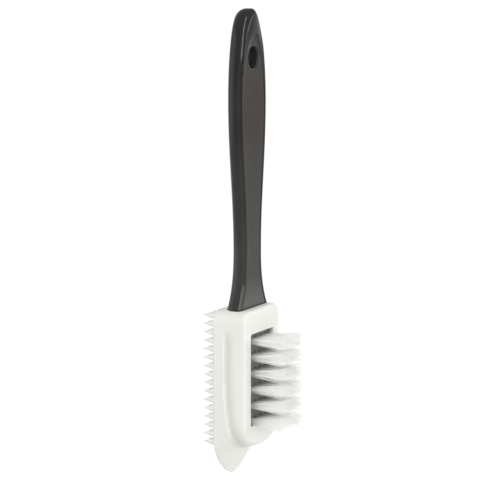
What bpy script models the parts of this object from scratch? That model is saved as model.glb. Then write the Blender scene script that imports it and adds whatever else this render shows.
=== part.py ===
"""Suede brush with a plastic handle, a rubber head with pins, and a window of nylon tufts.

The brush hangs upright: the handle is at the top (+Z), the nylon tufts face the front (-Y) and the rubber
pins face the back (+Y). The origin is the centre of the hanging hole. Heights are counted from the tip of
the nose and turned into Z by up().
"""
import math

import bmesh
import bpy
from mathutils import Matrix, Vector

MM = 0.001

# Driving dimensions
HEAD_LENGTH = 89.1 * MM
HANDLE_LENGTH = 155.4 * MM
HANDLE_WIDEST = 29.2 * MM
HANDLE_WAIST = 18.6 * MM
HEAD_WIDTH = 41.0 * MM
TUFT_REACH = 18.9 * MM

# Fits and cuts
FIT = 0.3 * MM
OVERRUN = 2.0 * MM

# Handle
CROWN_LENGTH = 49.0 * MM
FLARE_LENGTH = 30.0 * MM
FLARE_POWER = 2.5
BACK_ROUND_ACROSS = 5.6 * MM
BACK_ROUND_DEEP = 6.2 * MM
FRONT_ROUND_ACROSS = 1.9 * MM
FRONT_ROUND_DEEP = 4.0 * MM
SIDE_FLAT = 0.2 * MM
CROWN_BACK_ROUND = 5.0 * MM
CROWN_RAMP_LENGTH = 12.0 * MM
CROWN_RAMP_DEEP = 3.0 * MM
CROWN_STEPS = 12
TAPER_STEPS = 9
FLARE_STEPS = 8
ROUND_STEPS = 5
EDGE_STEPS = 3

# Recessed panel on the handle's front
RIM = 2.0 * MM
PANEL_DEPTH = 0.6 * MM
PANEL_TOP_MARGIN = 17.0 * MM
PANEL_RAMP = 4.0 * MM

# Hanging hole
HOLE_DIAMETER = 11.2 * MM
HOLE_BELOW_TOP = 25.2 * MM
HOLE_CHAMFER = 0.9 * MM
HOLE_SIDES = 28

# Core inside the head
NECK_SIDE = 3.3 * MM
WINDOW_SIDE = 7.2 * MM
WINDOW_LIP = 2.6 * MM
WINDOW_ABOVE_TIP = 28.1 * MM
WINDOW_BELOW_NECK = 12.5 * MM
PLATE_SETBACK = 2.8 * MM
CORE_CORNER = 6.0 * MM
CORE_STEP = 0.6 * MM
CORE_EDGE_STEPS = 5

# Rubber sleeve
FRONT_COVER = 4.7 * MM
BACK_COVER = 3.3 * MM
SHOULDER = 6.0 * MM
BACK_EDGE = 1.2 * MM
FRONT_LIP_EDGE = 2.3 * MM
BACK_DRAW = 0.5 * MM
CREASE_BACK = 1.8 * MM
RIDGE_AT = 1.2 * MM
RIDGE_RISE = 0.9 * MM
VALLEY_AT = 1.2 * MM
VALLEY_DEPTH = 0.8 * MM
VALLEY_END = 6.5 * MM
RIDGE_TOP_MARGIN = 8.0 * MM
RIDGE_FADE = 9.0 * MM
RIDGE_BEND_HEIGHT = 54.6 * MM
RIDGE_DRIFT = 8.8 * MM
FLANK_STEPS = 14
PROW_AT = 7.0 * MM
PROW_BEND = 0.2 * MM
PROW_BEND_RISE = 14.0 * MM
PROW_RISE = 17.2 * MM
NOSE_BACK_LENGTH = 18.6 * MM
NOSE_FRONT_LENGTH = 13.6 * MM
NOSE_BACK_POWER = 1.5
NOSE_FRONT_POWER = 2.6
CORNER_STEPS = 6
SIDE_STEPS = 9
NOSE_STEPS = 10
WINDOW_CORNER = 1.0 * MM

# Rubber pins
PIN_ROWS = 16
PIN_COLUMNS = 7
PIN_LENGTH = 7.3 * MM
PIN_CLEARANCE = 0.5 * MM
PIN_SIDES = 6
PIN_TOP_MARGIN = 3.1 * MM
PIN_NOSE_MARGIN = 19.0 * MM
PIN_SIDE_MARGIN = 4.0 * MM

# Nylon tufts and their anchors
TUFT_ROWS = 6
TUFT_COLUMNS = 4
TUFT_DIAMETER = 3.2 * MM
TUFT_SIDE_SHARE = 0.154
TUFT_TOP_MARGIN = 4.5 * MM
TUFT_FOOT_MARGIN = 1.9 * MM
TUFT_PLUG = 6.0 * MM
TUFT_COLLAR = 0.4 * MM
TUFT_GRID = (5, 4)
TUFT_TIP_GAP = 0.4 * MM
STRAND = 0.42 * MM
TIP_SCATTER = 0.35 * MM
TIP_TURN = 2.4
HOLE_BOTTOM_GAP = 0.4 * MM
TUFT_HOLE_SIDES = 12
ANCHOR_THICKNESS = 0.4 * MM
ANCHOR_HEIGHT = 1.5 * MM
ANCHOR_CLEARANCE = 1.73 * MM
ANCHOR_BEND = 0.9 * MM

# Colour, roughness and metallic value of each material
SATIN_PLASTIC = ((0.068, 0.068, 0.060), 0.38, 0.0)
PALE_RUBBER = ((0.82, 0.82, 0.77), 0.62, 0.0)
CLEAR_NYLON = ((0.76, 0.76, 0.71), 0.32, 0.0)
WIRE_STEEL = ((0.55, 0.56, 0.58), 0.30, 1.0)

# Places worked out from the sizes above
TOTAL_LENGTH = HEAD_LENGTH + HANDLE_LENGTH
HOLE_HEIGHT = TOTAL_LENGTH - HOLE_BELOW_TOP
HANDLE_THICKNESS = FRONT_ROUND_DEEP + SIDE_FLAT + BACK_ROUND_DEEP
HANDLE_FACE = HANDLE_THICKNESS / 2
NECK_WIDTH = HEAD_WIDTH - 2 * NECK_SIDE
CORE_BACK = HANDLE_FACE + CORE_STEP
HEAD_FRONT = HANDLE_FACE + FRONT_COVER
HEAD_BACK = CORE_BACK + BACK_COVER
WINDOW_WIDTH = HEAD_WIDTH - 2 * WINDOW_SIDE
WINDOW_LENGTH = HEAD_LENGTH - WINDOW_ABOVE_TIP - WINDOW_BELOW_NECK
PLATE_FACE = HEAD_FRONT - PLATE_SETBACK
PIN_DIAMETER = (HEAD_LENGTH - PIN_TOP_MARGIN - PIN_NOSE_MARGIN) / (PIN_ROWS - 1) - PIN_CLEARANCE
TUFT_SPREAD = WINDOW_WIDTH * (1 - 2 * TUFT_SIDE_SHARE)
TUFT_PITCH = TUFT_SPREAD / (TUFT_COLUMNS - 1)
ANCHOR_LENGTH = TUFT_PITCH - ANCHOR_CLEARANCE
CORE_WIDTH = WINDOW_WIDTH + 2 * WINDOW_LIP
CORE_BOTTOM = WINDOW_ABOVE_TIP - WINDOW_LIP
CORE_TOP = WINDOW_ABOVE_TIP + WINDOW_LENGTH + WINDOW_LIP
WINDOW_CENTRE = WINDOW_ABOVE_TIP + WINDOW_LENGTH / 2


def up(height):
    """Turn a height above the tip of the nose into Z, with the hanging hole at zero."""
    return height - HOLE_HEIGHT


def clear_scene():
    """Remove every object that the scene starts with."""
    for thing in list(bpy.data.objects):
        bpy.data.objects.remove(thing, do_unlink=True)


def new_collection(name):
    """Return a new collection linked to the scene."""
    collection = bpy.data.collections.new(name)
    bpy.context.scene.collection.children.link(collection)
    return collection


def new_material(name, look):
    """Return a Principled material with a colour, a roughness and a metallic value."""
    colour, roughness, metallic = look
    material = bpy.data.materials.new(name)
    material.use_nodes = True
    shader = material.node_tree.nodes["Principled BSDF"]
    shader.inputs["Base Color"].default_value = (*colour, 1.0)
    shader.inputs["Roughness"].default_value = roughness
    shader.inputs["Metallic"].default_value = metallic
    material.diffuse_color = (*colour, 1.0)
    return material


def new_mesh(name, bm):
    """Write a bmesh out as a mesh with its faces pointing outwards."""
    bmesh.ops.recalc_face_normals(bm, faces=bm.faces[:])
    mesh = bpy.data.meshes.new(name)
    bm.to_mesh(mesh)
    bm.free()
    return mesh


def add_object(name, mesh, collection, material=None):
    """Link a mesh into a collection, with its material where it has one."""
    thing = bpy.data.objects.new(name, mesh)
    collection.objects.link(thing)
    if material is not None and not mesh.materials:
        mesh.materials.append(material)
    return thing


def as_cutter(thing):
    """Keep a cutter out of the model's own pieces."""
    thing.hide_render = True
    thing.display_type = "WIRE"
    return thing


def add_boolean(thing, cutter, operation):
    """Cut or join with one object, or with every object of a collection."""
    modifier = thing.modifiers.new(cutter.name, "BOOLEAN")
    modifier.operation = operation
    modifier.solver = "EXACT"
    if isinstance(cutter, bpy.types.Collection):
        modifier.operand_type = "COLLECTION"
        modifier.collection = cutter
    else:
        modifier.object = cutter


def bake(thing):
    """Swap an object's mesh for the one that its modifiers make."""
    bpy.context.view_layer.update()
    graph = bpy.context.evaluated_depsgraph_get()
    mesh = bpy.data.meshes.new_from_object(thing.evaluated_get(graph))
    thing.modifiers.clear()
    thing.data = mesh
    return mesh


def shade(mesh, angle):
    """Shade round faces smooth and keep the edges that are sharper than the angle."""
    mesh.shade_smooth()
    mesh.set_sharp_from_angle(angle=math.radians(angle))


def mirrored(half):
    """Close an outline from its right half, which runs from top to bottom on the middle plane."""
    return half + [(-x, z) for x, z in reversed(half[1:-1])]


def stacked(name, levels):
    """Join matching outlines, laid one in front of another along Y, into one closed solid."""
    bm = bmesh.new()
    rings = [[bm.verts.new((x, y, z)) for x, z in outline] for y, outline in levels]
    for ring, following in zip(rings, rings[1:]):
        for i, corner in enumerate(ring):
            j = (i + 1) % len(ring)
            bm.faces.new((corner, ring[j], following[j], following[i]))
    bm.faces.new(rings[0])
    bm.faces.new(rings[-1])
    return new_mesh(name, bm)


def spread(first, last, count):
    """Return evenly spaced values from first to last."""
    return [first + (last - first) * i / (count - 1) for i in range(count)]


# Handle


def handle_outline(inset, top_height, foot_height):
    """Front outline of the handle: a tall round crown, a slow taper to the waist, and a flare to the head."""
    widest_height = TOTAL_LENGTH - CROWN_LENGTH
    waist_height = HEAD_LENGTH + FLARE_LENGTH
    crown = top_height - widest_height
    half = []
    for i in range(CROWN_STEPS + 1):
        angle = math.radians(90) * (1 - i / CROWN_STEPS)
        half.append(((HANDLE_WIDEST / 2 - inset) * math.cos(angle), up(widest_height + crown * math.sin(angle))))
    half[0] = (0.0, half[0][1])
    for i in range(1, TAPER_STEPS + 1):
        share = i / TAPER_STEPS
        blend = (1 + math.cos(math.pi * share)) / 2
        width = HANDLE_WAIST + (HANDLE_WIDEST - HANDLE_WAIST) * blend
        half.append((width / 2 - inset, up(widest_height + (waist_height - widest_height) * share)))
    flare_foot = max(HEAD_LENGTH, foot_height)
    for i in range(1, FLARE_STEPS + 1):
        height = waist_height + (flare_foot - waist_height) * i / FLARE_STEPS
        share = (waist_height - height) / FLARE_LENGTH
        width = HANDLE_WAIST + (NECK_WIDTH - HANDLE_WAIST) * share ** FLARE_POWER
        half.append((width / 2 - inset, up(height)))
    if foot_height < HEAD_LENGTH:
        half.append((NECK_WIDTH / 2 - inset, up(foot_height)))
    half.append((0.0, up(foot_height)))
    return mirrored(half)


def rounding(depth, across, deep):
    """Inset of an elliptical edge at a depth below its face."""
    rise = max(0.0, 1 - depth / deep)
    return across * (1 - math.sqrt(1 - rise * rise))


def quarter_depths(deep, steps):
    """Depths below a face that step evenly round a quarter turn of its edge."""
    return [deep * (1 - math.sin(math.radians(90) * i / steps)) for i in range(steps + 1)]


def handle_plate(name, grow):
    """D-section of the handle: front with a rounded edge, rounder back, and a crown that slopes back."""
    face = HANDLE_FACE + grow
    foot = WINDOW_CENTRE
    levels = []
    for depth in sorted(quarter_depths(BACK_ROUND_DEEP, ROUND_STEPS)):
        inset = rounding(depth, BACK_ROUND_ACROSS, BACK_ROUND_DEEP) - grow
        drop = rounding(depth, CROWN_BACK_ROUND, BACK_ROUND_DEEP) - grow
        levels.append((face - depth, handle_outline(inset, TOTAL_LENGTH - drop, foot)))
    front_depths = quarter_depths(FRONT_ROUND_DEEP, EDGE_STEPS) + quarter_depths(CROWN_RAMP_DEEP, EDGE_STEPS)[:-1]
    for depth in sorted(front_depths, reverse=True):
        inset = rounding(depth, FRONT_ROUND_ACROSS, FRONT_ROUND_DEEP) - grow
        drop = rounding(depth, CROWN_RAMP_LENGTH, CROWN_RAMP_DEEP) - grow
        levels.append((depth - face, handle_outline(inset, TOTAL_LENGTH - drop, foot)))
    return stacked(name, levels)


def panel_cut(cutters):
    """Shallow recess that leaves a rim round the handle's flat front and ramps out at the crown."""
    foot = HEAD_LENGTH + FIT
    top = TOTAL_LENGTH - PANEL_TOP_MARGIN
    floor = handle_outline(RIM + PANEL_DEPTH, top, foot)
    mouth = handle_outline(RIM, top + PANEL_RAMP, foot)
    levels = [(PANEL_DEPTH - HANDLE_FACE, floor), (-HANDLE_FACE, mouth), (-HANDLE_FACE - OVERRUN, mouth)]
    return as_cutter(add_object("panel_cut", stacked("panel_cut", levels), cutters))


def circle(radius):
    """Circle round the centre of the hanging hole."""
    turns = [math.tau * i / HOLE_SIDES for i in range(HOLE_SIDES)]
    return [(radius * math.cos(turn), radius * math.sin(turn)) for turn in turns]


def hole_cut(cutters):
    """The hanging hole with the chamfer round each of its mouths."""
    radius = HOLE_DIAMETER / 2
    wide = radius + HOLE_CHAMFER + OVERRUN
    front = -HANDLE_FACE + PANEL_DEPTH
    levels = [
        (front - OVERRUN, circle(wide)),
        (front + HOLE_CHAMFER, circle(radius)),
        (HANDLE_FACE - HOLE_CHAMFER, circle(radius)),
        (HANDLE_FACE + OVERRUN, circle(wide)),
    ]
    return as_cutter(add_object("hole_cut", stacked("hole_cut", levels), cutters))


def rounded_panel(half_width, bottom, top, corner, steps):
    """Rectangle with rounded corners, centred on the middle plane."""
    half = [(0.0, up(top))]
    for i in range(steps + 1):
        angle = math.radians(90) * (1 - i / steps)
        half.append((half_width - corner + corner * math.cos(angle), up(top - corner + corner * math.sin(angle))))
    for i in range(steps + 1):
        angle = -math.radians(90) * i / steps
        half.append((half_width - corner + corner * math.cos(angle), up(bottom + corner + corner * math.sin(angle))))
    half.append((0.0, up(bottom)))
    return mirrored(half)


def core_block(name, grow):
    """Block behind the window, which the sleeve's lips hold on every side."""
    outline = rounded_panel(CORE_WIDTH / 2 + grow, CORE_BOTTOM - grow, CORE_TOP + grow, CORE_CORNER,
                            CORE_EDGE_STEPS)
    return stacked(name, [(CORE_BACK + grow, outline), (-PLATE_FACE - grow, outline)])


def tuft_places():
    """Row number, column number and place on the core's front plate of every tuft."""
    across = TUFT_SPREAD / 2
    highest = WINDOW_ABOVE_TIP + WINDOW_LENGTH - TUFT_TOP_MARGIN
    lowest = WINDOW_ABOVE_TIP + TUFT_FOOT_MARGIN
    for row, height in enumerate(spread(highest, lowest, TUFT_ROWS), 1):
        for column, x in enumerate(spread(-across, across, TUFT_COLUMNS), 1):
            yield row, column, Vector((x, -PLATE_FACE, up(height)))


def anchor_box(name, grow):
    """Flat length of wire that lies across a tuft hole, in the bend of the strands."""
    bm = bmesh.new()
    depth = TUFT_PLUG - ANCHOR_BEND - ANCHOR_HEIGHT / 2
    size = Vector((ANCHOR_LENGTH, ANCHOR_HEIGHT, ANCHOR_THICKNESS)) + Vector((2 * grow, 2 * grow, 2 * grow))
    bmesh.ops.create_cube(bm, size=1.0, matrix=Matrix.Translation((0, depth, 0)) @ Matrix.Diagonal((*size, 1)))
    return new_mesh(name, bm)


def tuft_hole_cuts(cutters, holes):
    """One blind hole for each tuft, with a slot across it that the anchor bites into."""
    bm = bmesh.new()
    depth = TUFT_PLUG + HOLE_BOTTOM_GAP
    turn = Matrix.Translation((0, (depth - OVERRUN) / 2, 0)) @ Matrix.Rotation(math.radians(90), 4, "X")
    radius = TUFT_DIAMETER / 2 + FIT
    bmesh.ops.create_cone(bm, cap_ends=True, segments=TUFT_HOLE_SIDES, radius1=radius, radius2=radius,
                          depth=depth + OVERRUN, matrix=turn)
    hole = as_cutter(add_object("tuft_hole_cut", new_mesh("tuft_hole_cut", bm), cutters))
    slot = as_cutter(add_object("anchor_slot_cut", anchor_box("anchor_slot_cut", FIT), cutters))
    add_boolean(hole, slot, "UNION")
    mesh = bake(hole)
    for row, column, place in tuft_places():
        as_cutter(add_object(f"tuft_hole_cut_{row}_{column}", mesh, holes)).location = place


def make_handle(parts, cutters, holes, material):
    """Handle and core, moulded in one piece."""
    handle = add_object("handle", handle_plate("handle", 0.0), parts, material)
    core = as_cutter(add_object("core_join", core_block("core_join", 0.0), cutters))
    add_boolean(handle, core, "UNION")
    add_boolean(handle, panel_cut(cutters), "DIFFERENCE")
    add_boolean(handle, hole_cut(cutters), "DIFFERENCE")
    tuft_hole_cuts(cutters, holes)
    add_boolean(handle, holes, "DIFFERENCE")
    shade(bake(handle), 35)
    return handle


# Rubber sleeve


def crease_place(height):
    """Place of the crease between ridge and valley, which leans forward towards the nose."""
    share = max(0.0, 1 - height / RIDGE_BEND_HEIGHT)
    return CREASE_BACK - RIDGE_DRIFT * share * share


def ridge_share(height):
    """The ridge and valley fade out below the shoulders."""
    share = (HEAD_LENGTH - RIDGE_TOP_MARGIN - height) / RIDGE_FADE
    share = min(1.0, max(0.0, share))
    return share * share * (3 - 2 * share)


def flank_out(y, height):
    """How far the flank stands out past the head's nominal width: back face, ridge, valley, block."""
    crease = crease_place(height)
    ahead = crease - y
    if ahead < -RIDGE_AT:
        share = (y - crease - RIDGE_AT) / (HEAD_BACK - crease - RIDGE_AT)
        out = RIDGE_RISE - (RIDGE_RISE + BACK_DRAW) * share
    elif ahead < VALLEY_AT:
        share = (ahead + RIDGE_AT) / (RIDGE_AT + VALLEY_AT)
        out = RIDGE_RISE - (RIDGE_RISE + VALLEY_DEPTH) * (1 - math.cos(math.pi * share)) / 2
    elif ahead < VALLEY_END:
        share = (ahead - VALLEY_AT) / (VALLEY_END - VALLEY_AT)
        out = -VALLEY_DEPTH * (1 + math.cos(math.pi * share)) / 2
    else:
        out = 0.0
    return out * ridge_share(height)


def prow_height(y):
    """Height of the prow's edge: nothing at the tip, then a steep rake, then a flatter one to the front."""
    if y > PROW_AT:
        return 0.0
    if y > -PROW_BEND:
        return PROW_BEND_RISE * (PROW_AT - y) / (PROW_AT + PROW_BEND)
    return PROW_BEND_RISE + (PROW_RISE - PROW_BEND_RISE) * (-PROW_BEND - y) / (HEAD_FRONT - PROW_BEND)


def sleeve_outline(y, inset):
    """Outline of the head across the brush: shoulders, straight sides and a pointed nose."""
    front_share = (HEAD_BACK - y) / (HEAD_BACK + HEAD_FRONT)
    bottom = prow_height(y) + inset
    nose = NOSE_BACK_LENGTH + (NOSE_FRONT_LENGTH - NOSE_BACK_LENGTH) * front_share
    power = NOSE_BACK_POWER + (NOSE_FRONT_POWER - NOSE_BACK_POWER) * front_share
    half_width = HEAD_WIDTH / 2 - inset
    top = HEAD_LENGTH - inset
    half = [(0.0, up(top))]
    for i in range(CORNER_STEPS + 1):
        angle = math.radians(90) * (1 - i / CORNER_STEPS)
        half.append((half_width - SHOULDER + SHOULDER * math.cos(angle),
                     up(top - SHOULDER + SHOULDER * math.sin(angle))))
    side_top = top - SHOULDER
    side_foot = bottom + nose
    for i in range(1, SIDE_STEPS + 1):
        height = side_top + (side_foot - side_top) * i / SIDE_STEPS
        half.append((half_width + flank_out(y, height), up(height)))
    for i in range(1, NOSE_STEPS):
        angle = math.radians(90) * i / NOSE_STEPS
        height = side_foot - nose * math.sin(angle) ** (2 / power)
        half.append(((half_width + flank_out(y, height)) * math.cos(angle) ** (2 / power), up(height)))
    half.append((0.0, up(bottom)))
    return mirrored(half)


def sleeve_body(name):
    """The head's outer form, from the pin face at the back to the window face at the front."""
    levels = []
    for i in range(EDGE_STEPS):
        angle = math.radians(90) * (1 - i / EDGE_STEPS)
        levels.append((HEAD_BACK - BACK_EDGE * (1 - math.sin(angle)), BACK_EDGE * (1 - math.cos(angle))))
    for y in spread(HEAD_BACK - BACK_EDGE, -HEAD_FRONT + FRONT_LIP_EDGE, FLANK_STEPS):
        levels.append((y, 0.0))
    for i in range(1, EDGE_STEPS + 1):
        angle = math.radians(90) * i / EDGE_STEPS
        y = -HEAD_FRONT + FRONT_LIP_EDGE * (1 - math.sin(angle))
        levels.append((y, FRONT_LIP_EDGE * (1 - math.cos(angle))))
    return stacked(name, [(y, sleeve_outline(y, inset)) for y, inset in levels])


def window_cut(cutters):
    """Opening in the front of the sleeve that shows the core's plate and the tufts."""
    outline = rounded_panel(WINDOW_WIDTH / 2, WINDOW_ABOVE_TIP, WINDOW_ABOVE_TIP + WINDOW_LENGTH,
                            WINDOW_CORNER, EDGE_STEPS)
    levels = [(-PLATE_FACE + FIT, outline), (-HEAD_FRONT - OVERRUN, outline)]
    return as_cutter(add_object("window_cut", stacked("window_cut", levels), cutters))


def pin_places():
    """Places of the pins in straight rows and columns over the back of the head."""
    across = HEAD_WIDTH / 2 - PIN_SIDE_MARGIN
    for height in spread(HEAD_LENGTH - PIN_TOP_MARGIN, PIN_NOSE_MARGIN, PIN_ROWS):
        for x in spread(-across, across, PIN_COLUMNS):
            yield Vector((x, HEAD_BACK, up(height)))


def pins_join(cutters):
    """All the pins as cones, each rooted a little way into the sleeve."""
    root = PIN_DIAMETER / 2
    bm = bmesh.new()
    lay = Matrix.Rotation(-math.radians(90), 4, "X")
    middle = Matrix.Translation((0, (PIN_LENGTH - root) / 2, 0))
    base_radius = root * (PIN_LENGTH + root) / PIN_LENGTH
    for place in pin_places():
        bmesh.ops.create_cone(bm, cap_ends=True, segments=PIN_SIDES, radius1=base_radius, radius2=0.0,
                              depth=PIN_LENGTH + root, matrix=Matrix.Translation(place) @ middle @ lay)
    return as_cutter(add_object("pins_join", new_mesh("pins_join", bm), cutters))


def make_sleeve(parts, cutters, material):
    """Rubber sleeve with its pins, its cavity for the core and its window."""
    sleeve = add_object("head_sleeve", sleeve_body("head_sleeve"), parts, material)
    add_boolean(sleeve, pins_join(cutters), "UNION")
    neck = as_cutter(add_object("neck_cut", handle_plate("neck_cut", FIT), cutters))
    cavity = as_cutter(add_object("core_cut", core_block("core_cut", FIT), cutters))
    for cutter in (neck, cavity, window_cut(cutters)):
        add_boolean(sleeve, cutter, "DIFFERENCE")
    shade(bake(sleeve), 40)
    return sleeve


# Nylon tufts and anchors


def on_disc(point):
    """Move a point of the square from -1 to 1 on to the unit disc."""
    x, z = point
    return x * math.sqrt(1 - z * z / 2), z * math.sqrt(1 - x * x / 2)


def tuft_body(name):
    """A bundle of strands that fan out from a round plug, every strand along its own straight line."""
    radius = TUFT_DIAMETER / 2
    pitch_along = (WINDOW_LENGTH - TUFT_TOP_MARGIN - TUFT_FOOT_MARGIN) / (TUFT_ROWS - 1)
    fan_across = (TUFT_PITCH - TUFT_TIP_GAP - STRAND) / TUFT_DIAMETER
    fan_along = (pitch_along - TUFT_TIP_GAP - STRAND) / TUFT_DIAMETER
    tip = HEAD_FRONT - PLATE_FACE + TUFT_REACH
    bm = bmesh.new()
    bmesh.ops.create_grid(bm, x_segments=TUFT_GRID[0], y_segments=TUFT_GRID[1], size=1.0)
    for vert in bm.verts:
        x, z = on_disc((vert.co.x, vert.co.y))
        vert.co = Vector((x * radius, -TUFT_COLLAR, z * radius))
    strands = bmesh.ops.extrude_discrete_faces(bm, faces=bm.faces[:])["faces"]
    for number, face in enumerate(strands):
        centre = face.calc_center_median()
        reach = tip - TIP_SCATTER * (1 + math.sin(TIP_TURN * number)) / 2
        place = Vector((centre.x * fan_across, -reach, centre.z * fan_along))
        for vert in face.verts:
            offset = vert.co - centre
            vert.co = place + offset.normalized() * STRAND / 2
    rim = [edge for edge in bm.edges if edge.is_boundary]
    sleeve = bmesh.ops.extrude_edge_only(bm, edges=rim)["geom"]
    for vert in [item for item in sleeve if isinstance(item, bmesh.types.BMVert)]:
        vert.co.y = TUFT_PLUG
    foot = [item for item in sleeve if isinstance(item, bmesh.types.BMEdge)]
    bmesh.ops.holes_fill(bm, edges=foot, sides=0)
    return new_mesh(name, bm)


def make_tufts(parts, cutters, nylon, steel):
    """Every tuft with the anchor that holds it."""
    pattern = as_cutter(add_object("tuft_pattern", tuft_body("tuft"), cutters, nylon))
    slot = as_cutter(add_object("anchor_way_cut", anchor_box("anchor_way_cut", FIT), cutters))
    add_boolean(pattern, slot, "DIFFERENCE")
    tuft_mesh = bake(pattern)
    anchor_mesh = anchor_box("anchor", 0.0)
    for row, column, place in tuft_places():
        add_object(f"tuft_{row}_{column}", tuft_mesh, parts, nylon).location = place
        add_object(f"anchor_{row}_{column}", anchor_mesh, parts, steel).location = place


def main():
    """Build the brush from its sizes."""
    clear_scene()
    parts = new_collection("suede_brush")
    cutters = new_collection("cutters")
    holes = new_collection("tuft_holes")
    plastic = new_material("satin_plastic", SATIN_PLASTIC)
    rubber = new_material("pale_rubber", PALE_RUBBER)
    nylon = new_material("clear_nylon", CLEAR_NYLON)
    steel = new_material("wire_steel", WIRE_STEEL)
    make_handle(parts, cutters, holes, plastic)
    make_sleeve(parts, cutters, rubber)
    make_tufts(parts, cutters, nylon, steel)


main()
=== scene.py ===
import math
import random

import bmesh
import bpy
from bpy.props import FloatProperty, FloatVectorProperty, IntProperty, PointerProperty
from bpy.types import Operator, Panel, PropertyGroup
from mathutils import Matrix, Vector


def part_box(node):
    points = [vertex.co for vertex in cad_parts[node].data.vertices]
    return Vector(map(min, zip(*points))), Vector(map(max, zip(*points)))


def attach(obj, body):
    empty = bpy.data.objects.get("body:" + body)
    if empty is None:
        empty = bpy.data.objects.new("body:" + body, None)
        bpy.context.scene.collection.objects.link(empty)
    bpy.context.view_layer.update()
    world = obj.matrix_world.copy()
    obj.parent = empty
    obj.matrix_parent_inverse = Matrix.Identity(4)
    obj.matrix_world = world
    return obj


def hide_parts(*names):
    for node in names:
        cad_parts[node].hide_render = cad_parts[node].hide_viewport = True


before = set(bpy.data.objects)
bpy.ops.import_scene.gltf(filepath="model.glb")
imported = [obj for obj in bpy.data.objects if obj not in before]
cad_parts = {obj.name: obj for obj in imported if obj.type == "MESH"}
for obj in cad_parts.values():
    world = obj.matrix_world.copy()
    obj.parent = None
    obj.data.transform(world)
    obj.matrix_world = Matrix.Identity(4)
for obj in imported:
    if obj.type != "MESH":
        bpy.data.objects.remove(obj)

bl_info = {
    "name": "Suede Brush",
    "version": (1, 0, 0),
    "blender": (4, 5, 0),
    "location": "3D View > Sidebar > Suede Brush",
    "description": "Handle, rubber head, bristles and anchors of a two-sided suede brush, with its stage",
    "category": "Object",
}

MM = 0.001

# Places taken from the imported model

NOSE_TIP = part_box("head_sleeve")[0].z
HEAD_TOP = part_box("head_sleeve")[1].z
CROWN_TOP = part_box("handle")[1].z
HEAD_LENGTH = HEAD_TOP - NOSE_TIP
WHOLE_LENGTH = CROWN_TOP - NOSE_TIP
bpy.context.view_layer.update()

# Sizes and colours that a user may change


def length(name, description, millimetres):
    """A size that the sidebar shows, with its default in millimetres."""
    return FloatProperty(name=name, description=description, default=millimetres * MM, unit="LENGTH",
                         precision=5)


def number(name, description, default):
    """A plain number that the sidebar shows."""
    return FloatProperty(name=name, description=description, default=default, precision=3)


def count(name, description, default):
    """A whole number that the sidebar shows."""
    return IntProperty(name=name, description=description, default=default, min=1)


def colour(name, description, default):
    """A linear colour that the sidebar shows."""
    return FloatVectorProperty(name=name, description=description, default=default, subtype="COLOR", size=3,
                               min=0.0, max=1.0)


class HandleSizes(PropertyGroup):
    back_face: length("Back face", "Distance of the back from the middle of the handle", 5.2)
    front_face: length("Front face", "Distance of the front from the middle of the handle", 5.15)
    slim: length("Slim", "How far the back draws in from the crown to the waist", 0.6)
    bulge: length("Bulge", "How far the crown's front swells between its edges", 0.62)
    widest: length("Widest", "Width of the grip at the foot of the crown", 29.2)
    waist: length("Waist", "Width of the handle above the flare", 18.3)
    neck: length("Neck", "Width of the flare where it enters the head", 32.2)
    crown: length("Crown", "Length of the rounded end", 49.0)
    flare: length("Flare", "Length of the flare above the head", 30.0)
    flare_power: number("Flare power", "How late the flare opens", 2.5)
    back_across: length("Back rounding across", "Width of the rounded back edge", 5.6)
    back_deep: length("Back rounding deep", "Depth of the rounded back edge", 6.2)
    crown_drop: length("Crown drop", "How far the back of the crown rounds down", 5.0)
    front_across: length("Front edge across", "Width of the slanted front edge", 1.05)
    front_deep: length("Front edge deep", "Depth of the slanted front edge", 1.9)
    side_turn: length("Side turn", "Radius between the side and the slanted front edge", 1.2)
    face_turn: length("Face turn", "Radius between the slanted front edge and the face", 0.7)
    ramp_length: length("Ramp length", "Length of the round slope at the front of the crown's tip", 3.6)
    ramp_deep: length("Ramp depth", "Depth of the round slope at the front of the crown's tip", 2.2)
    rim: length("Rim", "Width of the rim round the sunk panel", 2.0)
    panel_deep: length("Panel depth", "Depth of the sunk panel", 0.35)
    panel_wall: length("Panel wall", "Width of the panel's soft wall", 0.9)
    panel_top: length("Panel top", "Distance of the panel's top from the crown's tip", 17.0)
    panel_ramp: length("Panel ramp", "Length of the slope at the panel's top", 4.0)
    hole: length("Hole", "Diameter of the hanging hole", 11.2)
    hole_mouth: length("Hole mouth", "Rounding of the hanging hole's mouths", 1.3)
    sink: length("Sink", "How far the neck runs into the core", 3.0)


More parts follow.
